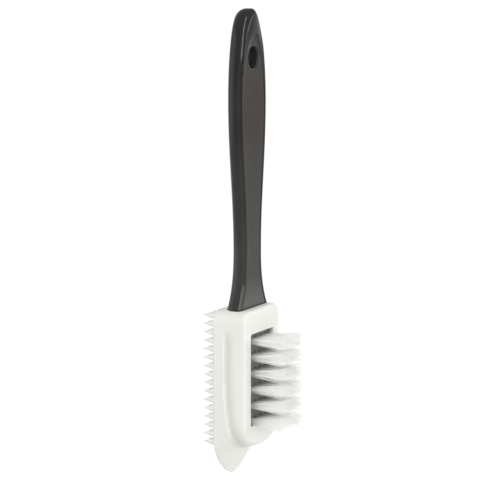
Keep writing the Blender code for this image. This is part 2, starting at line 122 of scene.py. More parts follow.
class HeadSizes(PropertyGroup):
    width: length("Width", "Nominal width of the head", 41.0)
    front: length("Front", "Distance of the window face from the middle", 9.9)
    back: length("Back", "Distance of the pin face from the middle", 9.1)
    shoulder: length("Shoulder", "Radius of the shoulders", 6.0)
    back_edge: length("Back edge", "Rounding round the pin face", 1.2)
    front_edge: length("Front edge", "Rounding round the window face", 2.3)
    back_draw: length("Back draw", "How far the flank draws in towards the pin face", 0.5)
    crease_back: length("Crease place", "Distance of the flank's crease behind the middle", 1.8)
    ridge_at: length("Crease half width", "Distance of the ridge and the valley from the crease", 1.0)
    ridge_rise: length("Ridge rise", "Height of the flank's ridge", 0.85)
    valley_depth: length("Valley depth", "Depth of the valley beside the ridge", 1.0)
    valley_end: length("Valley end", "Distance of the valley's end from the crease", 6.5)
    ridge_margin: length("Ridge margin", "Distance of the ridge from the shoulders", 8.0)
    ridge_fade: length("Ridge fade", "Length over which the ridge fades in", 9.0)
    ridge_bend: length("Ridge bend", "Height at which the ridge starts to lean forward", 54.6)
    ridge_drift: length("Ridge drift", "How far the ridge leans forward at the nose", 8.8)
    prow_at: length("Prow place", "Place of the prow's tip behind the middle", 7.0)
    prow_bend: length("Prow bend", "Place where the prow's edge gets flatter", 0.2)
    prow_bend_rise: length("Prow bend rise", "Height of the prow's edge at its bend", 14.0)
    prow_rise: length("Prow rise", "Height of the prow's edge at the window face", 17.2)
    nose_back: length("Nose back", "Length of the nose at the pin face", 18.6)
    nose_front: length("Nose front", "Length of the nose at the window face", 13.6)
    nose_back_power: number("Nose back power", "Fullness of the nose at the pin face", 1.5)
    nose_front_power: number("Nose front power", "Fullness of the nose at the window face", 2.6)
    window_width: length("Window width", "Width of the window", 26.6)
    window_foot: length("Window foot", "Height of the window's foot above the nose tip", 28.1)
    window_length: length("Window length", "Length of the window", 48.5)
    window_corner: length("Window corner", "Radius of the window's corners", 1.0)
    window_lip: length("Window lip", "Rounding of the window's edge", 0.5)
    core_lip: length("Core lip", "How far the core runs behind the window's edge", 2.6)
    core_corner: length("Core corner", "Radius of the core's corners", 6.0)
    core_back: length("Core back", "Distance of the core's back from the middle", 5.8)
    plate: length("Plate", "Distance of the core's front plate from the middle", 7.1)
    fit: length("Fit", "Clearance between the rubber and what it holds", 0.3)


class PinSizes(PropertyGroup):
    rows: count("Rows", "Rows of pins along the head", 16)
    columns: count("Columns", "Pins across the head", 7)
    length: length("Length", "Height of a pin", 7.0)
    root: length("Root", "Radius of a pin's root", 2.0)
    flare: length("Flare", "Radius of the soft fillet round a pin's root", 0.2)
    tip: length("Tip", "Radius of a pin's tip", 0.28)
    top_margin: length("Top margin", "Distance of the first row from the shoulders", 3.1)
    nose_margin: length("Nose margin", "Height of the last row above the nose tip", 19.0)
    side_margin: length("Side margin", "Distance of the outer columns from the side", 4.0)


class BristleSizes(PropertyGroup):
    rows: count("Rows", "Rows of tufts", 6)
    columns: count("Columns", "Columns of tufts", 4)
    strands: count("Strands", "Strands in a tuft", 72)
    hole: length("Hole", "Diameter of a tuft's hole in the core", 3.8)
    hole_deep: length("Hole depth", "Depth of a tuft's hole", 6.4)
    root: length("Root", "Radius of a tuft where it leaves the core", 1.45)
    reach: length("Reach", "How far the strands stand out of the window face", 18.88)
    fan_across: number("Fan across", "How much wider a tuft is at its tips, across the head", 1.8)
    fan_along: number("Fan along", "How much wider a tuft is at its tips, along the head", 2.9)
    thickness: length("Thickness", "Thickness of a strand", 0.25)
    scatter: length("Scatter", "How much the strands differ in length", 3.0)
    bend: length("Bend", "How far a strand bows to one side", 0.6)
    side_margin: length("Side margin", "Distance of the outer tufts from the window's side", 4.1)
    top_margin: length("Top margin", "Distance of the first tufts from the window's top", 4.1)
    foot_margin: length("Foot margin", "Distance of the last tufts from the window's foot", 1.9)


class FinishColours(PropertyGroup):
    plastic: colour("Plastic", "Satin dark plastic of the handle", (0.0150, 0.0145, 0.0135))
    # colour of real wear, also used for the painted light on the panel's floor by the head
    plastic_worn_and_lit: colour("Worn plastic", "Plastic where hands have rubbed it", (0.085, 0.085, 0.08))
    # painted reflection: warmer tone on the floor of the upper panel
    plastic_warm_reflection: colour("Warm plastic", "Warmer tone in the upper panel", (0.018, 0.010, 0.007))
    # painted reflection: the plastic paler towards the head
    plastic_pale_reflection: colour("Foot plastic", "Paler plastic towards the head", (0.033, 0.033, 0.030))
    # painted light: the handle's dark plastic painted lighter in the core, for the light the bristles throw
    # on it
    core: colour("Core", "Duller plastic of the core behind the tufts", (0.175, 0.175, 0.165))
    rubber: colour("Rubber", "Pale moulded rubber of the head", (0.79, 0.79, 0.75))
    # darker tone of the rubber's clouds, also used as painted shade in the flank's hollow
    rubber_clouds_and_painted_shade: colour("Rubber shade", "Darker clouds in the rubber", (0.69, 0.69, 0.645))
    nylon: colour("Nylon", "Pale nylon of the strands", (0.99, 0.99, 0.98))
    nylon_dull: colour("Dull nylon", "Strands that look greyer", (0.92, 0.92, 0.9))
    # painted shade of the strands near the core, where they lie in shade and the dark core shows through
    nylon_root_shade: colour("Nylon root", "Strands near the core, which shows through them", (0.44, 0.44, 0.42))
    steel: colour("Steel", "Flat wire of the anchors", (0.56, 0.57, 0.59))
    floor: colour("Floor", "Pale studio floor", (0.90, 0.90, 0.90))


class StageSizes(PropertyGroup):
    azimuth: FloatProperty(name="Azimuth", description="Turn of the camera round the brush", subtype="ANGLE",
                           default=math.radians(-63.5))
    elevation: FloatProperty(name="Elevation", description="Height of the camera", subtype="ANGLE",
                             default=math.radians(8.6))
    distance: length("Distance", "Distance of the camera from its target", 1600.0)
    view_width: length("View width", "Width of the view at the target", 249.6)
    target: FloatVectorProperty(name="Target", description="Point at the middle of the view", size=3,
                                subtype="XYZ", unit="LENGTH", default=(-0.00128, 0.00256, -0.0954))
    drop: length("Drop", "Distance of the floor below the nose tip", 130.0)


# Shared modelling steps

TINY = 0.01 * MM  # a length near nothing, for tolerances and divisions
MERGED = 0.001 * MM  # points nearer than this become one
OVERRUN = 3 * MM  # how far a cutter stands out of what it cuts
WORN_RADIUS = 1.2 * MM  # an edge as round as this or sharper is fully worn
BODY_ANGLE = 32  # degrees past which an edge of a large piece stays sharp
FINE_ANGLE = 60  # degrees past which an edge of a pin or strand stays sharp
LEAN_SEED = 7


def sizes(name):
    """One group of the sizes that the scene holds."""
    return getattr(bpy.context.scene, name)


def at_height(height):
    """Z of a height above the tip of the nose."""
    return NOSE_TIP + height


def spread(first, last, steps):
    """Evenly spaced values from first to last."""
    return [first + (last - first) * i / (steps - 1) for i in range(steps)]


def quarter(steps):
    """Angles that step evenly over a quarter turn."""
    return [math.radians(90) * i / steps for i in range(steps + 1)]


def smoothstep(share):
    """Soft step from 0 to 1."""
    share = min(1.0, max(0.0, share))
    return share * share * (3 - 2 * share)


def whole_outline(top, side, foot):
    """Closed outline from heights above the nose tip: top, points of the right side, and foot."""
    points = [(0.0, top), *side, (0.0, foot)] + [(-x, height) for x, height in reversed(side)]
    return [(x, at_height(height)) for x, height in points]


def closed(bm):
    """Merge the points of a skin that meet, cap its open ends and turn its faces outwards."""
    bmesh.ops.remove_doubles(bm, verts=bm.verts[:], dist=MERGED)
    bmesh.ops.holes_fill(bm, edges=[edge for edge in bm.edges if edge.is_boundary], sides=0)
    bmesh.ops.recalc_face_normals(bm, faces=bm.faces[:])
    return bm


def lofted(levels):
    """Closed skin over matching outlines at their Y places, made from a grid bent round and capped."""
    around = len(levels[0][1])
    along = len(levels) - 1
    bm = bmesh.new()
    bmesh.ops.create_grid(bm, x_segments=around, y_segments=along, size=1.0)
    for vert in bm.verts:
        i = round((vert.co.x + 1) / 2 * around) % around
        y, outline = levels[round((vert.co.y + 1) / 2 * along)]
        x, z = outline[i]
        vert.co = (x, y, z)
    return closed(bm)


def spun(profile, sides):
    """Closed bmesh from a profile of radius and Y, spun a full turn round the Y axis."""
    bm = bmesh.new()
    verts = [bm.verts.new((radius, y, 0.0)) for radius, y in profile]
    edges = [bm.edges.new(pair) for pair in zip(verts, verts[1:])]
    bmesh.ops.spin(bm, geom=verts + edges, cent=(0, 0, 0), axis=(0, 1, 0), angle=math.tau, steps=sides,
                   use_merge=True)
    return closed(bm)


def repeated(bm, places, lean=0.0):
    """Copy the one shape of a bmesh to every place, each tip leaning a little, and drop the first."""
    rng = random.Random(LEAN_SEED)
    first = bm.verts[:]
    shape = first + bm.edges[:] + bm.faces[:]
    tall = max(vert.co.y for vert in first)
    for place in places:
        copy = bmesh.ops.duplicate(bm, geom=shape)["geom"]
        verts = [item for item in copy if isinstance(item, bmesh.types.BMVert)]
        way = Vector((rng.uniform(-lean, lean), 0.0, rng.uniform(-lean, lean)))
        for vert in verts:
            vert.co += way * max(0.0, vert.co.y / tall) ** 2
        bmesh.ops.translate(bm, verts=verts, vec=place)
    bmesh.ops.delete(bm, geom=first, context="VERTS")
    return bm


def linked(name, data):
    """Object for a mesh, a lamp or a camera, linked into the scene at the origin."""
    thing = bpy.data.objects.new(name, data)
    bpy.context.scene.collection.objects.link(thing)
    return thing


def as_mesh(name, bm):
    """Mesh of a bmesh, which is freed."""
    mesh = bpy.data.meshes.new(name)
    bm.to_mesh(mesh)
    bm.free()
    return mesh


def as_object(name, bm):
    """Link a bmesh into the scene as an object."""
    return linked(name, as_mesh(name, bm))


def apply_modifiers(thing):
    """Swap an object's mesh for the one that its modifiers make."""
    bpy.context.view_layer.update()
    graph = bpy.context.evaluated_depsgraph_get()
    mesh = bpy.data.meshes.new_from_object(thing.evaluated_get(graph))
    thing.modifiers.clear()
    old = thing.data
    thing.data = mesh
    mesh.name = thing.name
    bpy.data.meshes.remove(old)


def carve(thing, *cutters):
    """Cut closed shapes out of an object and drop the cutters."""
    for cutter in cutters:
        modifier = thing.modifiers.new(cutter.name, "BOOLEAN")
        modifier.operation = "DIFFERENCE"
        modifier.solver = "EXACT"
        modifier.object = cutter
    apply_modifiers(thing)
    for cutter in cutters:
        mesh = cutter.data
        bpy.data.objects.remove(cutter)
        bpy.data.meshes.remove(mesh)


def shade_round(thing, angle):
    """Shade a piece smooth but for the edges sharper than an angle in degrees."""
    thing.data.shade_smooth()
    thing.data.set_sharp_from_angle(angle=math.radians(angle))


def smooth(thing):
    """Shade round faces smooth, keep sharp edges, and let large flat faces rule the normals."""
    shade_round(thing, BODY_ANGLE)
    modifier = thing.modifiers.new("flat_faces", "WEIGHTED_NORMAL")
    modifier.keep_sharp = True
    apply_modifiers(thing)


def mark(thing, name, value_at):
    """Store a float on every point of a piece, worked out from the point by a function."""
    bm = bmesh.new()
    bm.from_mesh(thing.data)
    layer = bm.verts.layers.float.new(name)
    for vert in bm.verts:
        vert[layer] = value_at(vert)
    bm.to_mesh(thing.data)
    bm.free()


def wear_at(vert):
    """How tightly the surface curves outwards at a point, from 0 on flats to 1 at the worn radius."""
    curve = 0.0
    for edge in vert.link_edges:
        if len(edge.link_faces) == 2:
            area = sum(face.calc_area() for face in edge.link_faces) / 2
            across = area / max(edge.calc_length(), TINY)
            curve = max(curve, edge.calc_face_angle_signed(0.0) / max(across, 2 * TINY))
    return smoothstep(curve * WORN_RADIUS)


def finish_piece(thing, material, slot, *nodes):
    """Give a piece its material, and let it ride and stand for its nodes; the slot is not used."""
    thing.data.materials.clear()
    thing.data.materials.append(material)
    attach(thing, "root")
    if nodes:
        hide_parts(*nodes)


# Materials

# Places of the shares and colours among the sockets of a Mix node
MIX_SHARE, MIX_FIRST, MIX_LAST, MIX_RESULT = 0, 6, 7, 2

# Heights between which a painted tone of the handle's plastic grows from none to its full share
# painted reflection: a warmer tone on the floor of the upper panel
WARM_REFLECTION_ABOVE_FOOT = (HEAD_TOP + 40.2 * MM, HEAD_TOP + 90.2 * MM)
WARM_REFLECTION_BELOW_TOP = (CROWN_TOP - 25.2 * MM, CROWN_TOP - 37.2 * MM)
# painted reflection: the plastic paler towards the head
PALE_REFLECTION_DOWNWARDS = (HEAD_TOP + 95.2 * MM, HEAD_TOP + 30.2 * MM)
# painted light: the panel's floor lighter just above the head
FLOOR_PAINTED_LIGHT_BELOW = (HEAD_TOP + 16.2 * MM, HEAD_TOP + 2.2 * MM)

# painted shade: the rubber darkens towards its darker tone in the valley beside the flank's ridge
HOLLOW_PAINTED_SHADE = 1.2  # how much of the rubber's darker tone the bottom of the hollow has
TIP_SHADE = 0.25  # how much of the duller nylon a strand's cut tip has
STEEL_LINES = (0.38, 0.38, 0.40)
FLOOR_CLOUDS = 0.97  # brightness of the floor's clouds beside its own
FLOOR_GLOW = 1.05  # strength of the white that the camera sees on the floor
GLOW_SHARE = 0.94  # share of that white, while the rest keeps the brush's shadow


class NodeCalls:
    """Short calls that add nodes to the tree of a material or of the world."""

    def __init__(self, tree):
        self.tree = tree

    def node(self, kind, **inputs):
        """Add a node and set or link its inputs by name."""
        node = self.tree.nodes.new(kind)
        self.feed(node, **inputs)
        return node

    def put(self, socket, value):
        """Link a value that comes from a socket, and set any other."""
        if isinstance(value, bpy.types.NodeSocket):
            self.tree.links.new(value, socket)
        else:
            socket.default_value = value

    def feed(self, node, **inputs):
        """Set or link a node's inputs by name, with spaces written as underscores."""
        for name, value in inputs.items():
            self.put(node.inputs[name.replace("_", " ")], value)

    def between(self, value, low=0.3, high=0.7, first=0.0, last=1.0):
        """Map a value from low..high to first..last, without running over."""
        node = self.node("ShaderNodeMapRange", Value=value, From_Min=low, From_Max=high, To_Min=first,
                         To_Max=last)
        return node.outputs["Result"]

    def blend(self, share, first, last):
        """Mix two colours or sockets by a share."""
        node = self.tree.nodes.new("ShaderNodeMix")
        node.data_type = "RGBA"
        self.put(node.inputs[MIX_SHARE], share)
        for place, value in ((MIX_FIRST, first), (MIX_LAST, last)):
            self.put(node.inputs[place], value if isinstance(value, bpy.types.NodeSocket) else (*value, 1.0))
        return node.outputs[MIX_RESULT]

    def maths(self, operation, first, second):
        """One arithmetic step on values or sockets."""
        node = self.tree.nodes.new("ShaderNodeMath")
        node.operation = operation
        self.put(node.inputs[0], first)
        self.put(node.inputs[1], second)
        return node.outputs["Value"]


class Finish(NodeCalls):
    """Node material with a shader, Object coordinates and short calls for its patterns."""

    def __init__(self, name):
        self.material = bpy.data.materials.new(name)
        self.material.use_nodes = True
        super().__init__(self.material.node_tree)
        self.shader = self.tree.nodes["Principled BSDF"]
        self.place = self.node("ShaderNodeTexCoord").outputs["Object"]

    def clouds(self, scale, detail=3.0, roughness=0.5, stretch=(1, 1, 1)):
        """Noise value on Object coordinates; scale is in features a metre."""
        mapping = self.node("ShaderNodeMapping", Vector=self.place, Scale=stretch)
        noise = self.node("ShaderNodeTexNoise", Vector=mapping.outputs["Vector"], Scale=scale, Detail=detail,
                          Roughness=roughness)
        return noise.outputs["Fac"]

    def attribute(self, name):
        """A float that the piece's points carry."""
        node = self.tree.nodes.new("ShaderNodeAttribute")
        node.attribute_name = name
        return node.outputs["Fac"]

    def bump(self, height, strength, depth, normal=None):
        """Bump from a height value; depth is in metres."""
        node = self.node("ShaderNodeBump", Height=height, Strength=strength, Distance=depth)
        if normal is not None:
            self.put(node.inputs["Normal"], normal)
        return node.outputs["Normal"]

    def shade(self, **inputs):
        """Set or link the shader's own inputs."""
        self.feed(self.shader, **inputs)
        return self.material


def satin_plastic(name, dark, light, warm_reflection, foot):
    """Dark plastic with a fine grain, lighter worn edges, a warmer upper panel and a paler foot as painted
    reflection, and painted light by the head.
    """
    finish = Finish(name)
    clouds = finish.clouds(scale=60.0, detail=4.0, roughness=0.6, stretch=(1, 1, 0.5))
    grain = finish.clouds(scale=2600.0, detail=2.0, roughness=0.6)
    swell = finish.clouds(scale=220.0, detail=2.0)
    floor = finish.attribute("panel_floor")
    height = finish.node("ShaderNodeSeparateXYZ", Vector=finish.place).outputs["Z"]

    rubbed = finish.between(clouds, 0.42, 0.68, last=0.12)
    edges = finish.between(clouds, first=0.1, last=0.3)
    edges = finish.maths("MULTIPLY", finish.attribute("edge_wear"), edges)
    speck = finish.between(grain, 0.35, 0.75, last=0.06)
    # painted light: the panel's floor lightens towards the worn colour just above the head, added to the
    # real wear
    painted_light = finish.maths("MULTIPLY", finish.between(height, *FLOOR_PAINTED_LIGHT_BELOW), floor)
    pale = finish.maths("ADD", finish.maths("MAXIMUM", rubbed, edges), speck)
    pale = finish.maths("ADD", pale, painted_light)

    # painted reflection: a warmer upper panel floor and plastic paler towards the head
    upper = finish.between(height, *WARM_REFLECTION_ABOVE_FOOT)
    upper = finish.maths("MULTIPLY", upper, finish.between(height, *WARM_REFLECTION_BELOW_TOP))
    tone = finish.blend(finish.maths("MULTIPLY", upper, floor), dark, warm_reflection)
    tone = finish.blend(finish.between(height, *PALE_REFLECTION_DOWNWARDS), tone, foot)

    rough = finish.between(finish.clouds(scale=95.0, roughness=0.6), 0.35, 0.7, first=0.09, last=0.14)
    relief = finish.bump(swell, strength=0.08, depth=0.05 * MM)
    relief = finish.bump(grain, strength=0.15, depth=0.02 * MM, normal=relief)
    # the lighter colour serves both real wear and the painted light on the panel's floor
    return finish.shade(Base_Color=finish.blend(pale, tone, light), Roughness=rough, Normal=relief,
                        Specular_IOR_Level=0.13)


def pale_rubber():
    """Pale rubber with soft clouds, painted shade in the flank's hollow, a matt skin and a little light
    carried below it.
    """
    tint = sizes("brush_finish")
    finish = Finish("pale_moulded_rubber")
    clouds = finish.clouds(scale=38.0, detail=4.0, roughness=0.55)
    small = finish.clouds(scale=420.0, roughness=0.6)
    skin = finish.clouds(scale=1500.0, roughness=0.6)
    share = finish.maths("ADD", finish.between(clouds, 0.35, 0.75, last=0.3),
                         finish.between(small, 0.5, 0.8, last=0.2))
    # painted shade in the valley beside the flank's ridge
    hollow = finish.maths("MULTIPLY", finish.attribute("hollow"), HOLLOW_PAINTED_SHADE)
    base = finish.blend(finish.maths("ADD", share, hollow), tint.rubber, tint.rubber_clouds_and_painted_shade)
    rough = finish.between(small, first=0.5, last=0.62)
    relief = finish.bump(clouds, strength=0.15, depth=0.15 * MM)
    relief = finish.bump(skin, strength=0.2, depth=0.03 * MM, normal=relief)
    return finish.shade(Base_Color=base, Roughness=rough, Normal=relief, Subsurface_Weight=0.12,
                        Subsurface_Scale=1.5 * MM, Subsurface_Radius=(1.0, 0.9, 0.8))


def clear_nylon():
    """Pale nylon strands, each a little different in tone, greyer at their tips, with painted shade near the
    core.
    """
    tint = sizes("brush_finish")
    finish = Finish("clear_nylon")
    along = finish.clouds(scale=900.0, detail=2.0, stretch=(1, 0.1, 1))
    share = finish.between(along, first=0.6)
    share = finish.maths("MULTIPLY", finish.attribute("strand_tone"), share)
    tips = finish.maths("MULTIPLY", finish.attribute("strand_tip"), TIP_SHADE)
    base = finish.blend(finish.maths("MAXIMUM", share, tips), tint.nylon, tint.nylon_dull)
    # painted shade: strands darken towards their roots
    base = finish.blend(finish.attribute("strand_root_shade"), base, tint.nylon_root_shade)
    rough = finish.between(along, first=0.28, last=0.42)
    return finish.shade(Base_Color=base, Roughness=rough, IOR=1.45, Sheen_Weight=0.5, Sheen_Roughness=0.4)


def wire_steel():
    """Drawn flat wire with fine lines along it."""
    finish = Finish("anchor_wire_steel")
    lines = finish.clouds(scale=3000.0, detail=2.0, roughness=0.6, stretch=(0.05, 1, 1))
    base = finish.blend(finish.between(lines, last=0.5), sizes("brush_finish").steel, STEEL_LINES)
    rough = finish.between(lines, first=0.26, last=0.42)
    relief = finish.bump(lines, strength=0.2, depth=0.01 * MM)
    return finish.shade(Base_Color=base, Roughness=rough, Metallic=1.0, Normal=relief)


def studio_floor():
    """Pale floor that the camera sees as white, but for the soft shadow of the brush."""
    tint = sizes("brush_finish").floor
    finish = Finish("studio_floor")
    clouds = finish.between(finish.clouds(scale=8.0))
    finish.shade(Base_Color=finish.blend(clouds, tint, [value * FLOOR_CLOUDS for value in tint]),
                 Roughness=0.8, Specular_IOR_Level=0.2)
    glow = finish.node("ShaderNodeEmission", Color=(1, 1, 1, 1), Strength=FLOOR_GLOW)
    mix = finish.node("ShaderNodeMixShader")
    share = finish.maths("MULTIPLY", seen_rays(finish), GLOW_SHARE)
    for socket, value in zip(mix.inputs, (share, finish.shader.outputs[0], glow.outputs[0])):
        finish.put(socket, value)
    finish.put(finish.tree.nodes["Material Output"].inputs["Surface"], mix.outputs[0])
    return finish.material


def seen_rays(calls):
    """1 for rays of the camera, in mirrors and through clear parts, and 0 for light on the brush."""
    rays = calls.node("ShaderNodeLightPath").outputs
    seen = calls.maths("MAXIMUM", rays["Is Camera Ray"], rays["Is Glossy Ray"])
    return calls.maths("MAXIMUM", seen, rays["Is Transmission Ray"])


# Handle

CROWN_STEPS = 36
TAPER_STEPS = 30
FLARE_STEPS = 24
BACK_STEPS = 14
FRONT_STEPS = 34
FRONT_CROWDING = 1.4  # power that crowds the front levels towards the face
FRONT_REACH = 1.4  # how far the front levels run, in depths of the front edge
FACE_INSETS = (1 * MM, 2 * MM, 3.2 * MM, 4.6 * MM, 6 * MM)  # of the outlines that let the face bulge
SWELL_START = 4 * MM  # how far below the panel's top the crown starts to swell
SWELL_LENGTH = 11 * MM  # over which the swelling grows to its full height
PANEL_LEVELS = 9
PANEL_CLEAR = 0.3 * MM  # gap between the panel's foot and the head
MOUTH_STEPS = 8
HOLE_SIDES = 56


def handle_outline(inset, top, foot):
    """Front outline of the handle: tall round crown, slow taper to the waist and a flare to the head."""
    s = sizes("brush_handle")
    widest = WHOLE_LENGTH - s.crown
    waist = HEAD_LENGTH + s.flare
    side = []
    for angle in quarter(CROWN_STEPS)[-2::-1]:
        side.append(((s.widest / 2 - inset) * math.cos(angle), widest + (top - widest) * math.sin(angle)))
    for share in spread(0, 1, TAPER_STEPS + 1)[1:]:
        width = s.waist + (s.widest - s.waist) * (1 + math.cos(math.pi * share)) / 2
        side.append((width / 2 - inset, widest + (waist - widest) * share))
    for height in spread(waist, max(HEAD_LENGTH, foot), FLARE_STEPS + 1)[1:]:
        width = s.waist + (s.neck - s.waist) * ((waist - height) / s.flare) ** s.flare_power
        side.append((width / 2 - inset, height))
    if foot < HEAD_LENGTH:
        side.append((s.neck / 2 - inset, foot))
    return whole_outline(top, side, foot)


def rounding(depth, across, deep):
    """Inset of an elliptical edge at a depth below its face."""
    rise = max(0.0, 1 - depth / deep)
    return across * (1 - math.sqrt(1 - rise * rise))


def front_edge(depth):
    """Inset of the handle's front edge at a depth: a tight turn, a slanted facet and a turn to the face."""
    s = sizes("brush_handle")
    tilt = math.atan2(s.front_across, s.front_deep)
    side_run = s.side_turn * math.tan(tilt / 2)
    face_run = s.face_turn * math.tan((math.radians(90) - tilt) / 2)
    if depth >= s.front_deep + side_run:
        return 0.0
    if depth > s.front_deep - side_run * math.cos(tilt):
        return s.side_turn - math.sqrt(s.side_turn ** 2 - (s.front_deep + side_run - depth) ** 2)
    if depth > face_run * math.cos(tilt):
        return s.front_across * (1 - depth / s.front_deep)
    return s.front_across + face_run - math.sqrt(s.face_turn ** 2 - (s.face_turn - depth) ** 2)


def handle_levels(grow, foot):
    """Levels of the D-section: round back, straight side, slanted front edge and a flat face."""
    s = sizes("brush_handle")
    levels = []
    for angle in reversed(quarter(BACK_STEPS)):
        depth = s.back_deep * (1 - math.sin(angle))
        inset = rounding(depth, s.back_across, s.back_deep) - grow
        drop = rounding(depth, s.crown_drop, s.back_deep) - grow
        levels.append((s.back_face + grow - depth, handle_outline(inset, WHOLE_LENGTH - drop, foot)))
    deepest = max(s.ramp_deep, s.front_deep * FRONT_REACH)
    for share in spread(1, 0, FRONT_STEPS + 1):
        depth = deepest * share ** FRONT_CROWDING
        inset = front_edge(depth) - grow
        drop = max(inset, rounding(depth, s.ramp_length, s.ramp_deep) - grow)
        levels.append((depth - s.front_face - grow, handle_outline(inset, WHOLE_LENGTH - drop, foot)))
    for further in FACE_INSETS:
        outline = handle_outline(inset + further, WHOLE_LENGTH - drop - further, foot + further)
        levels.append((-s.front_face - grow, outline))
    return levels


def crown_swell(x, z):
    """How far the crown's front stands out at a place: forward at its middle and back at its edges."""
    s = sizes("brush_handle")
    widest = CROWN_TOP - s.crown
    half_width = s.widest / 2 * math.sqrt(max(0.0, 1 - ((z - widest) / s.crown) ** 2)) + TINY
    share = smoothstep((z - CROWN_TOP + s.panel_top + SWELL_START) / SWELL_LENGTH)
    return s.bulge * share * (1 - 2 * min(1.0, abs(x) / half_width) ** 2)


def handle_skin(grow, foot):
    """Closed skin of the handle, with its back drawn in towards the waist and the crown's front swollen."""
    s = sizes("brush_handle")
    waist = HEAD_TOP + s.flare
    bm = lofted(handle_levels(grow, foot))
    for vert in bm.verts:
        x, y, z = vert.co
        if y > 0:
            vert.co.y -= s.slim * smoothstep((CROWN_TOP - z) / (CROWN_TOP - waist)) * y / s.back_face
        elif z > CROWN_TOP - s.crown:
            vert.co.y -= crown_swell(x, z) * -y / s.front_face
    return bm


def panel_cutter():
    """Sunk panel inside the rim, with a soft wall and a slope at its top."""
    s = sizes("brush_handle")
    top = WHOLE_LENGTH - s.panel_top
    foot = HEAD_LENGTH + PANEL_CLEAR
    levels = []
    for share in spread(0, 1, PANEL_LEVELS):
        deep = s.panel_deep * (1 + math.cos(math.pi * share)) / 2
        outline = handle_outline(s.rim + s.panel_wall * (1 - share), top + s.panel_ramp * share, foot)
        levels.append((deep - s.front_face, outline))
    levels.append((-s.front_face - OVERRUN, outline))
    return as_object("panel_cutter", lofted(levels))


def hole_cutter():
    """Spool that cuts the hanging hole with a rounded mouth on both sides, spun round its axis."""
    s = sizes("brush_handle")
    over = s.hole / 2 + s.hole_mouth
    angles = quarter(MOUTH_STEPS)
    profile = [(0.0, -s.front_face - OVERRUN), (over, -s.front_face - OVERRUN)]
    for face, mouth, turns in ((s.panel_deep - s.front_face, s.hole_mouth, angles),
                               (s.back_face, -s.hole_mouth, angles[::-1])):
        for angle in turns:
            profile.append((over - s.hole_mouth * math.sin(angle), face + mouth * (1 - math.cos(angle))))
    profile += [(over, s.back_face + OVERRUN), (0.0, s.back_face + OVERRUN)]
    return as_object("hole_cutter", spun(profile, HOLE_SIDES))


def floor_at(vert):
    """1 for a point on the floor of the sunk panel, and 0 for any other."""
    s = sizes("brush_handle")
    return float(abs(vert.co.y + s.front_face - s.panel_deep) < 2 * TINY and vert.co.z > HEAD_TOP)


class BRUSH_OT_handle(Operator):
    """Build the handle with its sunk panel, rim and hanging hole"""
    bl_idname = "brush.handle"
    bl_label = "Handle"

    def execute(self, context):
        foot = core_ends()[1] - sizes("brush_handle").sink
        handle = as_object("handle_body", handle_skin(0.0, foot))
        carve(handle, panel_cutter(), hole_cutter())
        smooth(handle)
        mark(handle, "edge_wear", wear_at)
        # the panel's floor carries the painted reflection and the painted light
        mark(handle, "panel_floor", floor_at)
        tint = sizes("brush_finish")
        plastic = satin_plastic("satin_dark_plastic", tint.plastic, tint.plastic_worn_and_lit, tint.plastic_warm_reflection,
                                tint.plastic_pale_reflection)
        finish_piece(handle, plastic, "handle_plastic", "handle")
        return {"FINISHED"}


# Rubber head and the core behind its window

CORE_CORNER_STEPS = 8
CORE_WORN = 1.5  # how much paler the core is where it is worn
TUFT_MOUTH = 0.25 * MM  # countersink of a tuft's hole
TUFT_HOLE_SIDES = 20
SHOULDER_STEPS = 10
FLANK_STEPS = 40
NOSE_STEPS = 26
SIDE_LEVELS = 44
BACK_EDGE_STEPS = 7
FRONT_EDGE_STEPS = 9
LIP_STEPS = 5
WINDOW_CORNER_STEPS = 6


def corner(side, edge, radius, way, steps):
    """Round corner of a half outline, under its top edge with way 1 and over its foot with way -1."""
    return [(side - radius + radius * math.cos(angle), edge - way * radius + way * radius * math.sin(angle))
            for angle in quarter(steps)[::-way]]


def rounded_panel(half_width, foot, top, radius, steps):
    """Rectangle with rounded corners, centred on the middle plane."""
    side = corner(half_width, top, radius, 1, steps) + corner(half_width, foot, radius, -1, steps)
    return whole_outline(top, side, foot)


def round_edge(face, radius, steps):
    """Y places and insets of a rounded edge up to its face, with a minus radius for a face at the back."""
    return [(face + radius * (1 - math.sin(angle)), abs(radius) * (1 - math.cos(angle)))
            for angle in quarter(steps)[1:]]


def core_ends():
    """Heights of the core's foot and top."""
    s = sizes("brush_head")
    return s.window_foot - s.core_lip, s.window_foot + s.window_length + s.core_lip


def core_levels(grow):
    """Back and front levels of the block that the rubber head holds."""
    s = sizes("brush_head")
    foot, top = core_ends()
    half_width = s.window_width / 2 + s.core_lip + grow
    outline = rounded_panel(half_width, foot - grow, top + grow, s.core_corner, CORE_CORNER_STEPS)
    return [(s.core_back + grow, outline), (-s.plate - grow, outline)]


def tuft_places():
    """Row, column and place on the core's plate of every tuft."""
    s = sizes("brush_head")
    t = sizes("brush_bristles")
    across = s.window_width / 2 - t.side_margin
    top = s.window_foot + s.window_length - t.top_margin
    for row, height in enumerate(spread(top, s.window_foot + t.foot_margin, t.rows), 1):
        for column, x in enumerate(spread(-across, across, t.columns), 1):
            yield row, column, Vector((x, -s.plate, at_height(height)))


def tuft_hole_cutter():
    """All the tuft holes, each with a small countersink, as one cutter."""
    t = sizes("brush_bristles")
    radius = t.hole / 2
    over = radius + TUFT_MOUTH
    hole = spun([(0.0, t.hole_deep), (radius, t.hole_deep), (radius, TUFT_MOUTH), (over, 0.0),
                 (over, -OVERRUN), (0.0, -OVERRUN)], TUFT_HOLE_SIDES)
    return as_object("tuft_hole_cutter", repeated(hole, [place for _, _, place in tuft_places()]))


def crease_place(height):
    """Place of the crease between ridge and valley, which leans forward towards the nose."""
    s = sizes("brush_head")
    share = max(0.0, 1 - height / s.ridge_bend)
    return s.crease_back - s.ridge_drift * share * share


